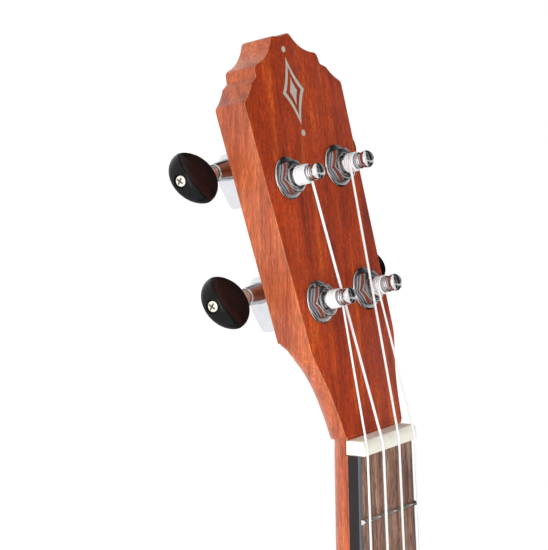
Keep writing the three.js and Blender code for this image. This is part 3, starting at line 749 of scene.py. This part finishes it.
def build_neck():
    neck = make("neck", neck_shape(), NECK_FRAME)
    plate = slab(head_outline(), -HEAD.thick, 0, HEAD.back_edge, HEAD.edge)
    combine(neck, [(plate, HEAD_FRAME)], "UNION")
    seat = box((-NUT.half - 3, -1, 0), (NUT.half + 3, NUT.seat, NUT.length + 0.05))
    bore = rod(-HEAD.thick - 3, 3, BUSHING.radius + 0.3)
    combine(neck, [(seat, NECK_FRAME)] + [(bore, tuner.frame) for tuner in TUNERS], angle=28)
    stand_for(neck, "neck", MAHOGANY)
    # The sides, back and coves get the paler copy of the mahogany: painted light and sheen
    paint(neck, MAHOGANY_LIT_SIDE, lambda face: face.normal.dot(HEAD_OUT) < 0.3)
    # The rounded edges between the face and the sides get the paler mahogany: a painted highlight
    paint(neck, MAHOGANY_PAINTED_HIGHLIGHT, lambda face: 0.3 <= face.normal.dot(HEAD_OUT) < 0.93)


def diamond(half_wide, half_long):
    """A slim diamond with hollowed sides, on the headstock's centre line."""
    tips = [(half_wide, 0), (0, half_long), (-half_wide, 0), (0, -half_long)]
    points = []
    for i, tip in enumerate(tips):
        after = tips[(i + 1) % 4]
        hollow = (0.36 * (tip[0] + after[0]), 0.36 * (tip[1] + after[1]))
        points += curve(tip, hollow, after, 8)
    return [(x, y + INLAY.up) for x, y in points]


def build_inlay():
    """An ornament in the headstock's face: a slim open diamond, a filled one in it, and two dots."""
    low, high, radius = -INLAY.deep, INLAY.proud, INLAY.dot
    star = make("fine_head_inlay", slab(diamond(*INLAY.outer), low, high), HEAD_FRAME)
    combine(star, [(slab(diamond(*INLAY.gap), low - 1, high + 1), HEAD_FRAME)])
    pips = [slab(diamond(*INLAY.core), low, high)]
    for way in (-1, 1):
        profile = [(0, low), (radius, low), (radius, high), (0, high)]
        pips.append(shifted(turned(profile, 32), y=INLAY.up + way * INLAY.dot_gap))
    settle(star, "root", INLAY_SILVER)
    add_on("head_inlay_pips", pips, INLAY_SILVER, HEAD_FRAME)


# --- fretboard, frets and nut
def build_fretboard():
    """A bare wooden face, and sides stained black, with a painted grey sheen where they round over."""
    edge, low = BOARD.edge, -BOARD.thick
    arc = [polar(edge, 0.5 * pi * i / 5) for i in range(6)]
    rings = []
    for drop in (BOARD.length, 0):
        half = board_half(drop)
        right = [(half, low)] + [(half - edge + x, -0.55 * edge + 0.55 * z) for x, z in arc]
        section = right + [(-x, z) for x, z in reversed(right)]
        rings.append([(x, -drop, z) for x, z in section])
    board = piece("fretboard", loft(rings), ROSEWOOD)
    paint(board, EDGE_BLACK, lambda face: abs(face.normal.x) > 0.99)
    # The rounded edges get the blue-grey: a painted sheen
    paint(board, EDGE_SHEEN_GREY, lambda face: 0.2 < abs(face.normal.x) <= 0.99)


def fret_shape(number):
    drop, steps = fret_drop(number), 12
    end = board_half(drop) - 0.15
    rings = []
    for side in (-1, 1):
        ring = []
        for i in range(steps + 1):
            angle = pi * i / steps
            z = (FRET.top + FRET.sunk) * sin(angle) - FRET.sunk
            x = end - FRET.bevel * max(0.0, z) / FRET.top
            ring.append((side * x, FRET.half * cos(angle) - drop, z))
        rings.append(ring)
    reach = end - TANG.inset
    tang = box((-reach, -TANG.half - drop, -TANG.deep), (reach, TANG.half - drop, 0))
    return merged(loft(rings), tang)


def build_frets():
    for number in range(1, FRET_COUNT + 1):
        piece(f"fret_{number:02d}", fret_shape(number), NICKEL_SILVER)


def dot(radius, x, y, z, depth=0.8):
    profile = eased([(0, -depth), (radius, -depth), (radius, 0), (0, 0)], 0.05, 1)
    return shifted(turned(profile, 32), x, y, z)


def build_dots():
    """Position dots in the board's face, and small ones in the side that the player sees."""
    faces, sides = [], []
    for fret, places in FACE_DOTS.items():
        y = -0.5 * (fret_drop(fret) + fret_drop(fret - 1))
        faces += [dot(FACE_DOT, x, y, 0.03) for x in places]
        x = -board_half(-y) - 0.02
        turn = Matrix.Translation((x, y, -2.9)) @ Matrix.Rotation(-0.5 * pi, 4, "Y")
        sides.append(moved(dot(SIDE_DOT, 0, 0, 0), turn))
    add_on("position_dots", faces, PEARL)
    add_on("side_dots", sides, PEARL)


def string_corners(tuner):
    """A string's corners in the plan's frame: on the saddle, on the nut and at its post."""
    inner = tuner.out - POST.barrel - tuner.string_radius - 0.05
    post = PLAN_FRAME.inverted() @ HEAD_FRAME @ Vector((tuner.side * inner, tuner.up, WINDING.rise))
    saddle = Vector((tuner.place * PITCH.saddle, -SCALE_LENGTH, RISE.saddle))
    nut = Vector((tuner.place * PITCH.nut, NUT_BEND, RISE.nut))
    return saddle, nut, post


def build_nut():
    low, crest, length = -NUT.seat, NUT.crest, NUT.length
    section = [(0.02, low), (length, low), (length, 0.8)]
    section += curve(section[-1], (4.6, crest - 0.1), (2.6, crest), 8)
    section.append((1, crest))
    section += curve(section[-1], (0.02, crest), (0.02, crest - 0.9), 6)
    nut = make("nut", bar(section, NUT.half, 0.8), PLAN_FRAME)
    slots = []
    for tuner in TUNERS:
        saddle, crown, post = string_corners(tuner)
        for end in (saddle, post):
            along = (end - crown).normalized()
            slot = tube([crown - 0.4 * along, crown + 8 * along], tuner.string_radius + 0.06, 16)
            slots.append((slot, PLAN_FRAME))
    combine(nut, slots)
    stand_for(nut, "nut", BONE)


# --- strings
def tie(saddle):
    """A string's path from its knot up to the saddle: over the tie block, round it and through it."""
    x, line = saddle.x, saddle.y
    offsets = [
        (2.4, -5.0, 0.9), (1.3, -4.9, 1.1), (0.2, -5.2, 1.5), (-0.75, -5.5, 2.3), (-0.9, -5.9, 3.3),
        (-0.8, -7.2, 4.0), (-0.55, -9.5, 4.0), (-0.3, -12.5, 3.2), (-0.1, -15.4, 1.5), (0, -17.5, -0.5),
        (0, -18.1, -2.2), (0, -17.2, -3.4), (0, -15, -3.0), (0, -11, -0.6), (0, -7, 2.06),
    ]
    return [(x + dx, line + dy, z) for dx, dy, z in offsets]


def build_strings():
    for tuner in TUNERS:
        saddle, crown, post = string_corners(tuner)
        knot = between(tie(saddle), 5)
        route = knot + eased([knot[-1], saddle, crown, post], 1.6, 6)[1:]
        piece(f"string_{tuner.name}", tube(route, tuner.string_radius), NYLON, angle=60)


def winding(tuner, turns, way):
    """A spiral on the barrel from where the straight string arrives, up the barrel or down it."""
    wire, steps = tuner.string_radius, 28
    reach = POST.barrel + wire + 0.05
    points = []
    for i in range(int(steps * turns) + 1):
        turn = i / steps
        angle = (pi if tuner.side > 0 else 0) - tuner.side * 2 * pi * turn
        height = WINDING.rise + way * 2.04 * wire * max(0.0, turn - 0.12)
        points.append((*polar(reach, angle), height))
    return tube(points, wire)


def build_windings(tuner):
    """The turns of string on a post, below and above the one that the straight string joins."""
    turns = winding(tuner, WINDING.turns_below, -1), winding(tuner, WINDING.turns_above, 1)
    add_on(f"string_{tuner.name}_windings", turns, NYLON, tuner.frame, f"post_{tuner.name}", 60)


# --- tuners
def build_washer(tuner):
    radius, thick, inner = WASHER.radius, WASHER.thick, BUSHING.radius + 0.2
    corners = [(inner, 0.02), (radius - 0.1, 0.02), (radius, 0.5), (radius - 0.6, 1.05), (inner, thick)]
    profile = eased(corners, 0.25, 3, closed=True)
    shape = turned(profile + profile[:1], 72)
    # The washer takes the darker chrome: a painted dark reflection
    piece(f"tuner_{tuner.name}_washer", shape, CHROME_PAINTED_DARK, tuner.frame, 50)


def build_bushing(tuner):
    """A hexagon with a turned chamfer, on a shank that goes into the housing's tube."""
    foot, seat, top = BUSHING.foot, BUSHING.seat, BUSHING.top
    corner = BUSHING.flats / sqrt(3)
    hexagon = [polar(corner, pi * k / 3) for k in range(6)]
    shape = slab(eased(hexagon, 0.5, 3, True), seat, top)
    bushing = make("bushing", shape, tuner.frame)
    cone = [(0, seat - 1), (corner + 1, seat - 1), (corner + 1, top - 1.5), (corner - 1.0, top - 0.15)]
    cone += [(corner - 1.4, top), (0, top)]
    combine(bushing, [(turned(cone, 72), tuner.frame)], "INTERSECT")
    shank = rod(foot, seat + 0.1, BUSHING.radius, 48)
    combine(bushing, [(shank, tuner.frame)], "UNION")
    bore = POST.radius + CLEARANCE
    recess = [(0, foot - 1), (bore, foot - 1), (bore, top - 0.9), (bore + 0.7, top - 0.7)]
    recess += [(bore + 1.0, top + 0.1), (bore + 1.0, top + 1), (0, top + 1)]
    combine(bushing, [(turned(recess, 56), tuner.frame)])
    # The bushing takes the darker chrome: a painted dark reflection
    stand_for(bevel(bushing, 0.12), f"tuner_{tuner.name}_bushing", CHROME_PAINTED_DARK)


def gear_outline():
    corners = [(-0.34, GEAR.root), (-0.16, GEAR.outer), (0.16, GEAR.outer), (0.34, GEAR.root)]
    step = 2 * pi / GEAR.teeth
    return [polar(radial, step * (tooth + shift)) for tooth in range(GEAR.teeth) for shift, radial in corners]


def build_post(tuner):
    """A hollowed barrel for the string, a short waist and a domed cap; the foot carries the gear."""
    radius, barrel, cap, top, deep = POST.radius, POST.barrel, POST.cap, POST.top, WORM.deep
    foot = -deep - GEAR.half - 1.2
    profile = [(0, foot), (2, foot), (2, -deep), (radius, -deep), (radius, 4.6), (barrel, 5.8), (barrel, 9.4)]
    profile += [(radius, 10.3), (radius, 10.7), (2.45, 11.1), (2.45, 11.6), (cap - 0.1, 12.4), (cap, 13.2)]
    profile += [(cap - 0.05, 13.9), (cap - 0.45, 14.7), (cap - 1.15, 15.3), (1.1, top - 0.1), (0, top)]
    post = make("post", turned(eased(profile, 0.3, 4), 64), tuner.frame)
    gear = slab(gear_outline(), -deep - GEAR.half, -deep + GEAR.half)
    combine(post, [(gear, tuner.frame)], "UNION")
    stand_for(post, f"tuner_{tuner.name}_post", SOFT_CHROME)


def housing_section(margin):
    """The case from its side, as y up the headstock and z out of its face, with a sloping back."""
    face, low, high = -HEAD.thick - 0.02, HOUSING.low, HOUSING.high
    (start, end), deep = HOUSING.flat, HOUSING.deep - margin
    return [(low + margin, face - HOUSING.foot + margin), (start, face - deep), (end, face - deep),
            (high - margin, face - HOUSING.crown + margin), (high - margin, face - margin),
            (low + margin, face - margin)]


def build_housing(tuner):
    """A die-cast case with a tube for the bushing and a tapered collar for the shaft."""
    half, wall, wide, sleeve = HOUSING.half, HOUSING.wall, HOUSING.collar, HOUSING.sleeve
    face = -HEAD.thick - 0.02
    case = bar(eased(housing_section(0), 1.8, 5, True), half, 1.2)
    housing = make("housing", case, tuner.frame)
    collar = [(0, half - 0.5), (wide, half - 0.5), (wide, half + 1), (wide - 0.2, half + 1.5)]
    collar += [(3.35, sleeve - 0.8), (3.3, sleeve - 0.3), (3.05, sleeve), (0, sleeve)]
    inlet = rod(face - 0.5, BUSHING.foot - 0.4, BUSHING.radius, 40)
    combine(housing, [(turned(collar, 48), tuner.shaft_frame), (inlet, tuner.frame)], "UNION")
    cavity = bar(housing_section(wall), half - wall)
    post_bore = rod(face - 2, BUSHING.foot + 1, POST.radius + CLEARANCE, 40)
    shaft_bore = rod(0, sleeve + 1, SHAFT.radius + CLEARANCE, 32)
    combine(housing, [(cavity, tuner.frame), (post_bore, tuner.frame), (shaft_bore, tuner.shaft_frame)])
    stand_for(housing, f"tuner_{tuner.name}_housing", CHROME)
    to_shaft = tuner.shaft_frame.inverted()
    # The collar's faces take the darker chrome: a painted dark reflection
    paint(housing, CHROME_PAINTED_DARK, lambda face: (to_shaft @ face.center).z > half + 0.2)


def build_shaft(tuner):
    """The worm, the shaft and the ring that the button seats on."""
    radius, start, end, flange = SHAFT.radius, SHAFT.start, SHAFT.end, SHAFT.flange
    seat, tip_radius, tip, pitch = SHAFT.seat, SHAFT.tip_radius, SHAFT.tip, THREAD.pitch
    profile = [(0, start), (radius, start)]
    for turn in range(THREAD.count):
        middle = (turn - (THREAD.count - 1) / 2) * pitch
        profile += [(radius, middle - 0.4 * pitch), (WORM.radius, middle), (radius, middle + 0.4 * pitch)]
    profile += [(radius, end), (flange - 0.15, end), (flange, end + 0.15), (flange, seat - 1.3)]
    profile += [(flange - 0.3, seat - 1.1), (flange - 0.3, seat), (tip_radius, seat)]
    profile += [(tip_radius, tip), (0, tip)]
    piece(f"tuner_{tuner.name}_worm_shaft", turned(profile, 40), STEEL, tuner.shaft_frame)


def button_shape():
    """An oval button, z along the shaft: two broad faces and a domed rim that narrows towards its sides."""
    steps, half, across, along = 72, BUTTON.half, BUTTON.across, BUTTON.along
    face_rows = [(share, 1) for share in (0.0, 0.25, 0.5, 0.7, 0.86, 1.0)]
    rows = face_rows + [(i / 12, 0) for i in range(1, 12)] + [(share, -1) for share, _ in reversed(face_rows)]
    middle_half = 0.86 * half
    rings = []
    for share, way in rows:
        ring = []
        for k in range(steps):
            angle = 2 * pi * k / steps
            end_on = abs(cos(angle))
            ridge_half = half * (0.40 + 0.60 * end_on ** 1.3)
            ridge_reach = 1 - 0.07 - 0.05 * end_on
            if way:
                reach = ridge_reach * share
                thick = way * (middle_half + (ridge_half - middle_half) * share ** 2.4)
                thick *= 1 - 0.05 * sin(pi * share)
            else:
                swing = pi * share
                reach = ridge_reach + (1 - ridge_reach) * sin(swing) ** 0.8
                thick = ridge_half * cos(swing)
            ring.append((thick, across * reach * sin(angle), along * reach * cos(angle)))
        rings.append(ring)
    return loft(rings)


def build_button(tuner):
    """A button leaning about its shaft, with a bore for the tip and a counterbore for the screw."""
    lean = Matrix.Rotation(-radians(BUTTON_TURN[tuner.name]) * tuner.side, 4, "Z")
    out, along = BUTTON.out, BUTTON.along
    place = tuner.shaft_frame @ Matrix.Translation((0, 0, out)) @ lean
    button = make("button", button_shape(), place, 26)
    bore = rod(out - along - 1, out + along + 1, SHAFT.tip_radius + 0.1, 24)
    seat = out + along - SCREW.sunk
    counterbore = rod(seat, seat + 3, SCREW.head + 0.15, 40)
    combine(button, [(bore, tuner.shaft_frame), (counterbore, tuner.shaft_frame)], angle=26)
    stand_for(button, f"tuner_{tuner.name}_button", BUTTON_BLACK)


def build_screw(tuner):
    """A domed screw with a cross recess."""
    seat = BUTTON.out + BUTTON.along - SCREW.sunk + 0.02
    foot, head, shank, high = SHAFT.tip, SCREW.head, SCREW.shank, SCREW.high
    reach, thin = SCREW.slot_reach, SCREW.slot_half
    corners = [(0, foot), (shank, foot), (shank, seat), (head, seat), (head, seat + 0.45 * high)]
    corners += [(head * 0.75, seat + 0.85 * high), (head * 0.35, seat + high), (0, seat + high)]
    shape = turned(eased(corners, 0.2, 3), 40)
    screw = make("screw", shape, tuner.shaft_frame, 40)
    slot = box((-reach, -thin, seat + 0.3 * high), (reach, thin, seat + high + 1))
    turns = [Matrix.Rotation(pi * quarter, 4, "Z") for quarter in (0.25, 0.75)]
    combine(screw, [(moved(slot, turn), tuner.shaft_frame) for turn in turns])
    stand_for(screw, f"tuner_{tuner.name}_button_screw", SCREW_NICKEL)
    to_shaft = tuner.shaft_frame.inverted()

    def in_recess(face):
        x, y, z = to_shaft @ face.center
        return hypot(x, y) < 1.5 and seat < z < seat + 0.8 * high

    # The cross recess gets the dark brown: painted shade
    paint(screw, RECESS_SHADE, in_recess)


# --- body
def body_outline(count=240):
    """The body's outline in plan, counter-clockwise, as evenly spaced points on a smooth curve."""
    right = [
        (39, -291), (71, -278), (95.5, -259), (110, -237), (115, -212), (111, -188), (100.5, -166),
        (85, -147), (75.5, -132), (71.5, -117), (74, -101), (80.5, -84), (86, -62), (80.5, -35), (64, -14),
        (42, -4.5), (22, -0.6),
    ]
    knots = [(0, -BODY.length)] + right + [(0, -0.2)] + [(-x, y) for x, y in reversed(right)]
    dense = []
    total = len(knots)
    for i in range(total):
        p = [Vector(knots[(i + k) % total]) for k in (-1, 0, 1, 2)]
        t = [0.0]
        for a, b in zip(p, p[1:]):
            t.append(t[-1] + (b - a).length ** 0.5)
        for step in range(24):
            s = t[1] + (t[2] - t[1]) * step / 24
            a = [((t[k + 1] - s) * p[k] + (s - t[k]) * p[k + 1]) / (t[k + 1] - t[k]) for k in range(3)]
            b = [((t[k + 2] - s) * a[k] + (s - t[k]) * a[k + 1]) / (t[k + 2] - t[k]) for k in range(2)]
            dense.append(((t[2] - s) * b[0] + (s - t[1]) * b[1]) / (t[2] - t[1]))
    lengths = [(dense[(i + 1) % len(dense)] - point).length for i, point in enumerate(dense)]
    gap, walked, points = sum(lengths) / count, 0.0, []
    for point, following, length in zip(dense, dense[1:] + dense[:1], lengths):
        while len(points) * gap < walked + length and len(points) < count:
            place = point.lerp(following, (len(points) * gap - walked) / length)
            points.append((place.x, BODY_TOP + place.y))
        walked += length
    return points


OUTLINE = body_outline()


def brace(y, base, tip):
    """A brace that stands on a plate, whose ends taper down."""
    reach, taper, half = BRACE.reach, BRACE.taper, BRACE.half
    end = base + BRACE.ends * (tip - base)
    section = [(-reach, base), (reach, base), (reach, end), (reach - taper, tip)]
    section += [(taper - reach, tip), (-reach, end)]
    if tip < base:
        section.reverse()
    vertices, faces = slab(section, BODY_TOP + y - half, BODY_TOP + y + half, 0.6, 0.6)
    return [(x, z, depth) for x, depth, z in vertices], faces


def build_soundboard():
    low, high = -BOARD.thick - BODY.plate, -BOARD.thick
    board = make("soundboard", slab(OUTLINE, low, high, 0, BODY.edge, 4), PLAN_FRAME)
    radius = SOUND_HOLE.radius
    hole = turned([(0, low - 5), (radius, low - 5), (radius, high - 0.5), (radius + 0.15, high - 0.15),
                   (radius + 0.5, high + 0.01), (radius + 0.5, high + 1), (0, high + 1)], 128)
    combine(board, [(shifted(hole, y=BODY_TOP - SOUND_HOLE.drop), PLAN_FRAME)])
    stand_for(board, "soundboard", BODY_MAHOGANY)
    ribs = [brace(y, low + 0.1, low - BRACE.deep) for y in BRACES.soundboard]
    half, start, end = BRIDGE_PLATE.half, BRIDGE_PLATE.low, BRIDGE_PLATE.high
    ribs.append(box((-half, start - SCALE_LENGTH, low - 2), (half, end - SCALE_LENGTH, low + 0.1)))
    add_on("soundboard_braces", ribs, RAW_WOOD)


def build_rosette():
    high = -BOARD.thick
    finishes = ("cream", "bone", BONE, 0.05), ("dark", "fretboard_wood", ROSEWOOD, 0.03)
    for tint, slot, material, lift in finishes:
        rings = []
        for radius, half in ROSETTE[tint]:
            inner, outer, low, top = radius - half, radius + half, high - 0.8, high + lift
            profile = [(inner, low), (outer, low), (outer, top), (inner, top), (inner, low)]
            rings.append(shifted(turned(profile, 160), y=BODY_TOP - SOUND_HOLE.drop))
        add_on(f"rosette_{tint}", rings, material)


def build_back():
    low, high = -BODY.back, BODY.plate - BODY.back
    piece("back", slab(OUTLINE, low, high, BODY.edge, 0, 4), BODY_MAHOGANY)
    ribs = [brace(y, high - 0.1, high + BRACE.deep) for y in BRACES.back]
    add_on("back_braces", ribs, RAW_WOOD)


def build_rim():
    """The bent sides, whose grain runs round the body."""
    low, high = BODY.plate - BODY.back, -BOARD.thick - BODY.plate
    inner = inset(OUTLINE, BODY.plate)
    layers = ((OUTLINE, low), (OUTLINE, high), (inner, high), (inner, low))
    rings = [[(x, y, z) for x, y in points] for points, z in layers]
    rim = make("rim", loft(rings, closed=True), PLAN_FRAME)
    walked = [0.0]
    for here, following in zip(OUTLINE, OUTLINE[1:]):
        walked.append(walked[-1] + dist(here, following))
    to_plan = PLAN_FRAME.inverted()
    grain = rim.data.attributes.new("grain", "FLOAT_VECTOR", "POINT")
    for vertex in rim.data.vertices:
        x, y, z = to_plan @ vertex.co
        nearest = min(range(len(OUTLINE)), key=lambda i: dist(OUTLINE[i], (x, y)))
        grain.data[vertex.index].vector = (z * MM, 0, abs(walked[nearest] - walked[-1] / 2) * MM)
    stand_for(rim, "rim", SIDE_MAHOGANY)


def build_blocks():
    for node in ("neck_block", "tail_block"):
        coat(frame["nodes"][node], RAW_WOOD)


# --- bridge and saddle
def build_bridge():
    half, low, top, line = BRIDGE.half, BRIDGE.low, BRIDGE.top, -SCALE_LENGTH
    front, back = line + BRIDGE.front, line - BRIDGE.back
    groove = [(line - 2.6, top), (line - 3.4, top - 3.2), (line - 6.6, top - 3.2), (line - 7, top - 0.4)]
    section = [(back, low), (front, low), (front, top - 3)]
    section += curve(section[-1], (front - 1, top), (line + 4, top), 8)
    section += eased(groove, 0.5, 3)
    section += curve(section[-1], (back + 2, top), (back, top - 4), 8)
    bridge = make("bridge", bar(section, half + 1), PLAN_FRAME)
    outline = rounded_rectangle(6 - half, back + 6, half - 6, front - 6, 6)
    plan = slab(outline, low, top + 0.01, 0, 1.2, 4)
    combine(bridge, [(plan, PLAN_FRAME)], "INTERSECT")
    slot_half, reach = SADDLE.half_thick + 0.04, SADDLE.half + 0.1
    tools = [box((-reach, line - slot_half, top - 5), (reach, line + slot_half, top + 1))]
    for tuner in TUNERS:
        saddle = string_corners(tuner)[0]
        tools.append(tube(tie(saddle)[9:] + [tuple(saddle)], tuner.string_radius + 0.25))
    combine(bridge, [(tool, PLAN_FRAME) for tool in tools])
    stand_for(bridge, "bridge", BRIDGE_ROSEWOOD)


def build_saddle():
    half, low, top = SADDLE.half_thick, SADDLE.low, RISE.saddle - 0.5
    section = [(-half, low), (half, low), (half, top - 0.5)]
    section += curve(section[-1], (half * 0.8, top), (half * 0.2, top), 5)
    section += curve(section[-1], (-half * 0.6, top), (-half, top - 1.1), 6)
    piece("saddle", shifted(bar(section, SADDLE.half, 0.6), y=-SCALE_LENGTH), BONE)


NECK_PARTS = build_neck, build_inlay, build_fretboard, build_frets, build_dots, build_nut, build_strings
for build in NECK_PARTS:
    build()
TUNER_PARTS = build_windings, build_washer, build_bushing, build_post, build_housing
TUNER_PARTS += build_shaft, build_button, build_screw
for tuner in TUNERS:
    for build in TUNER_PARTS:
        build(tuner)
BODY_PARTS = build_soundboard, build_rosette, build_back, build_rim, build_blocks, build_bridge, build_saddle
for build in BODY_PARTS:
    build()
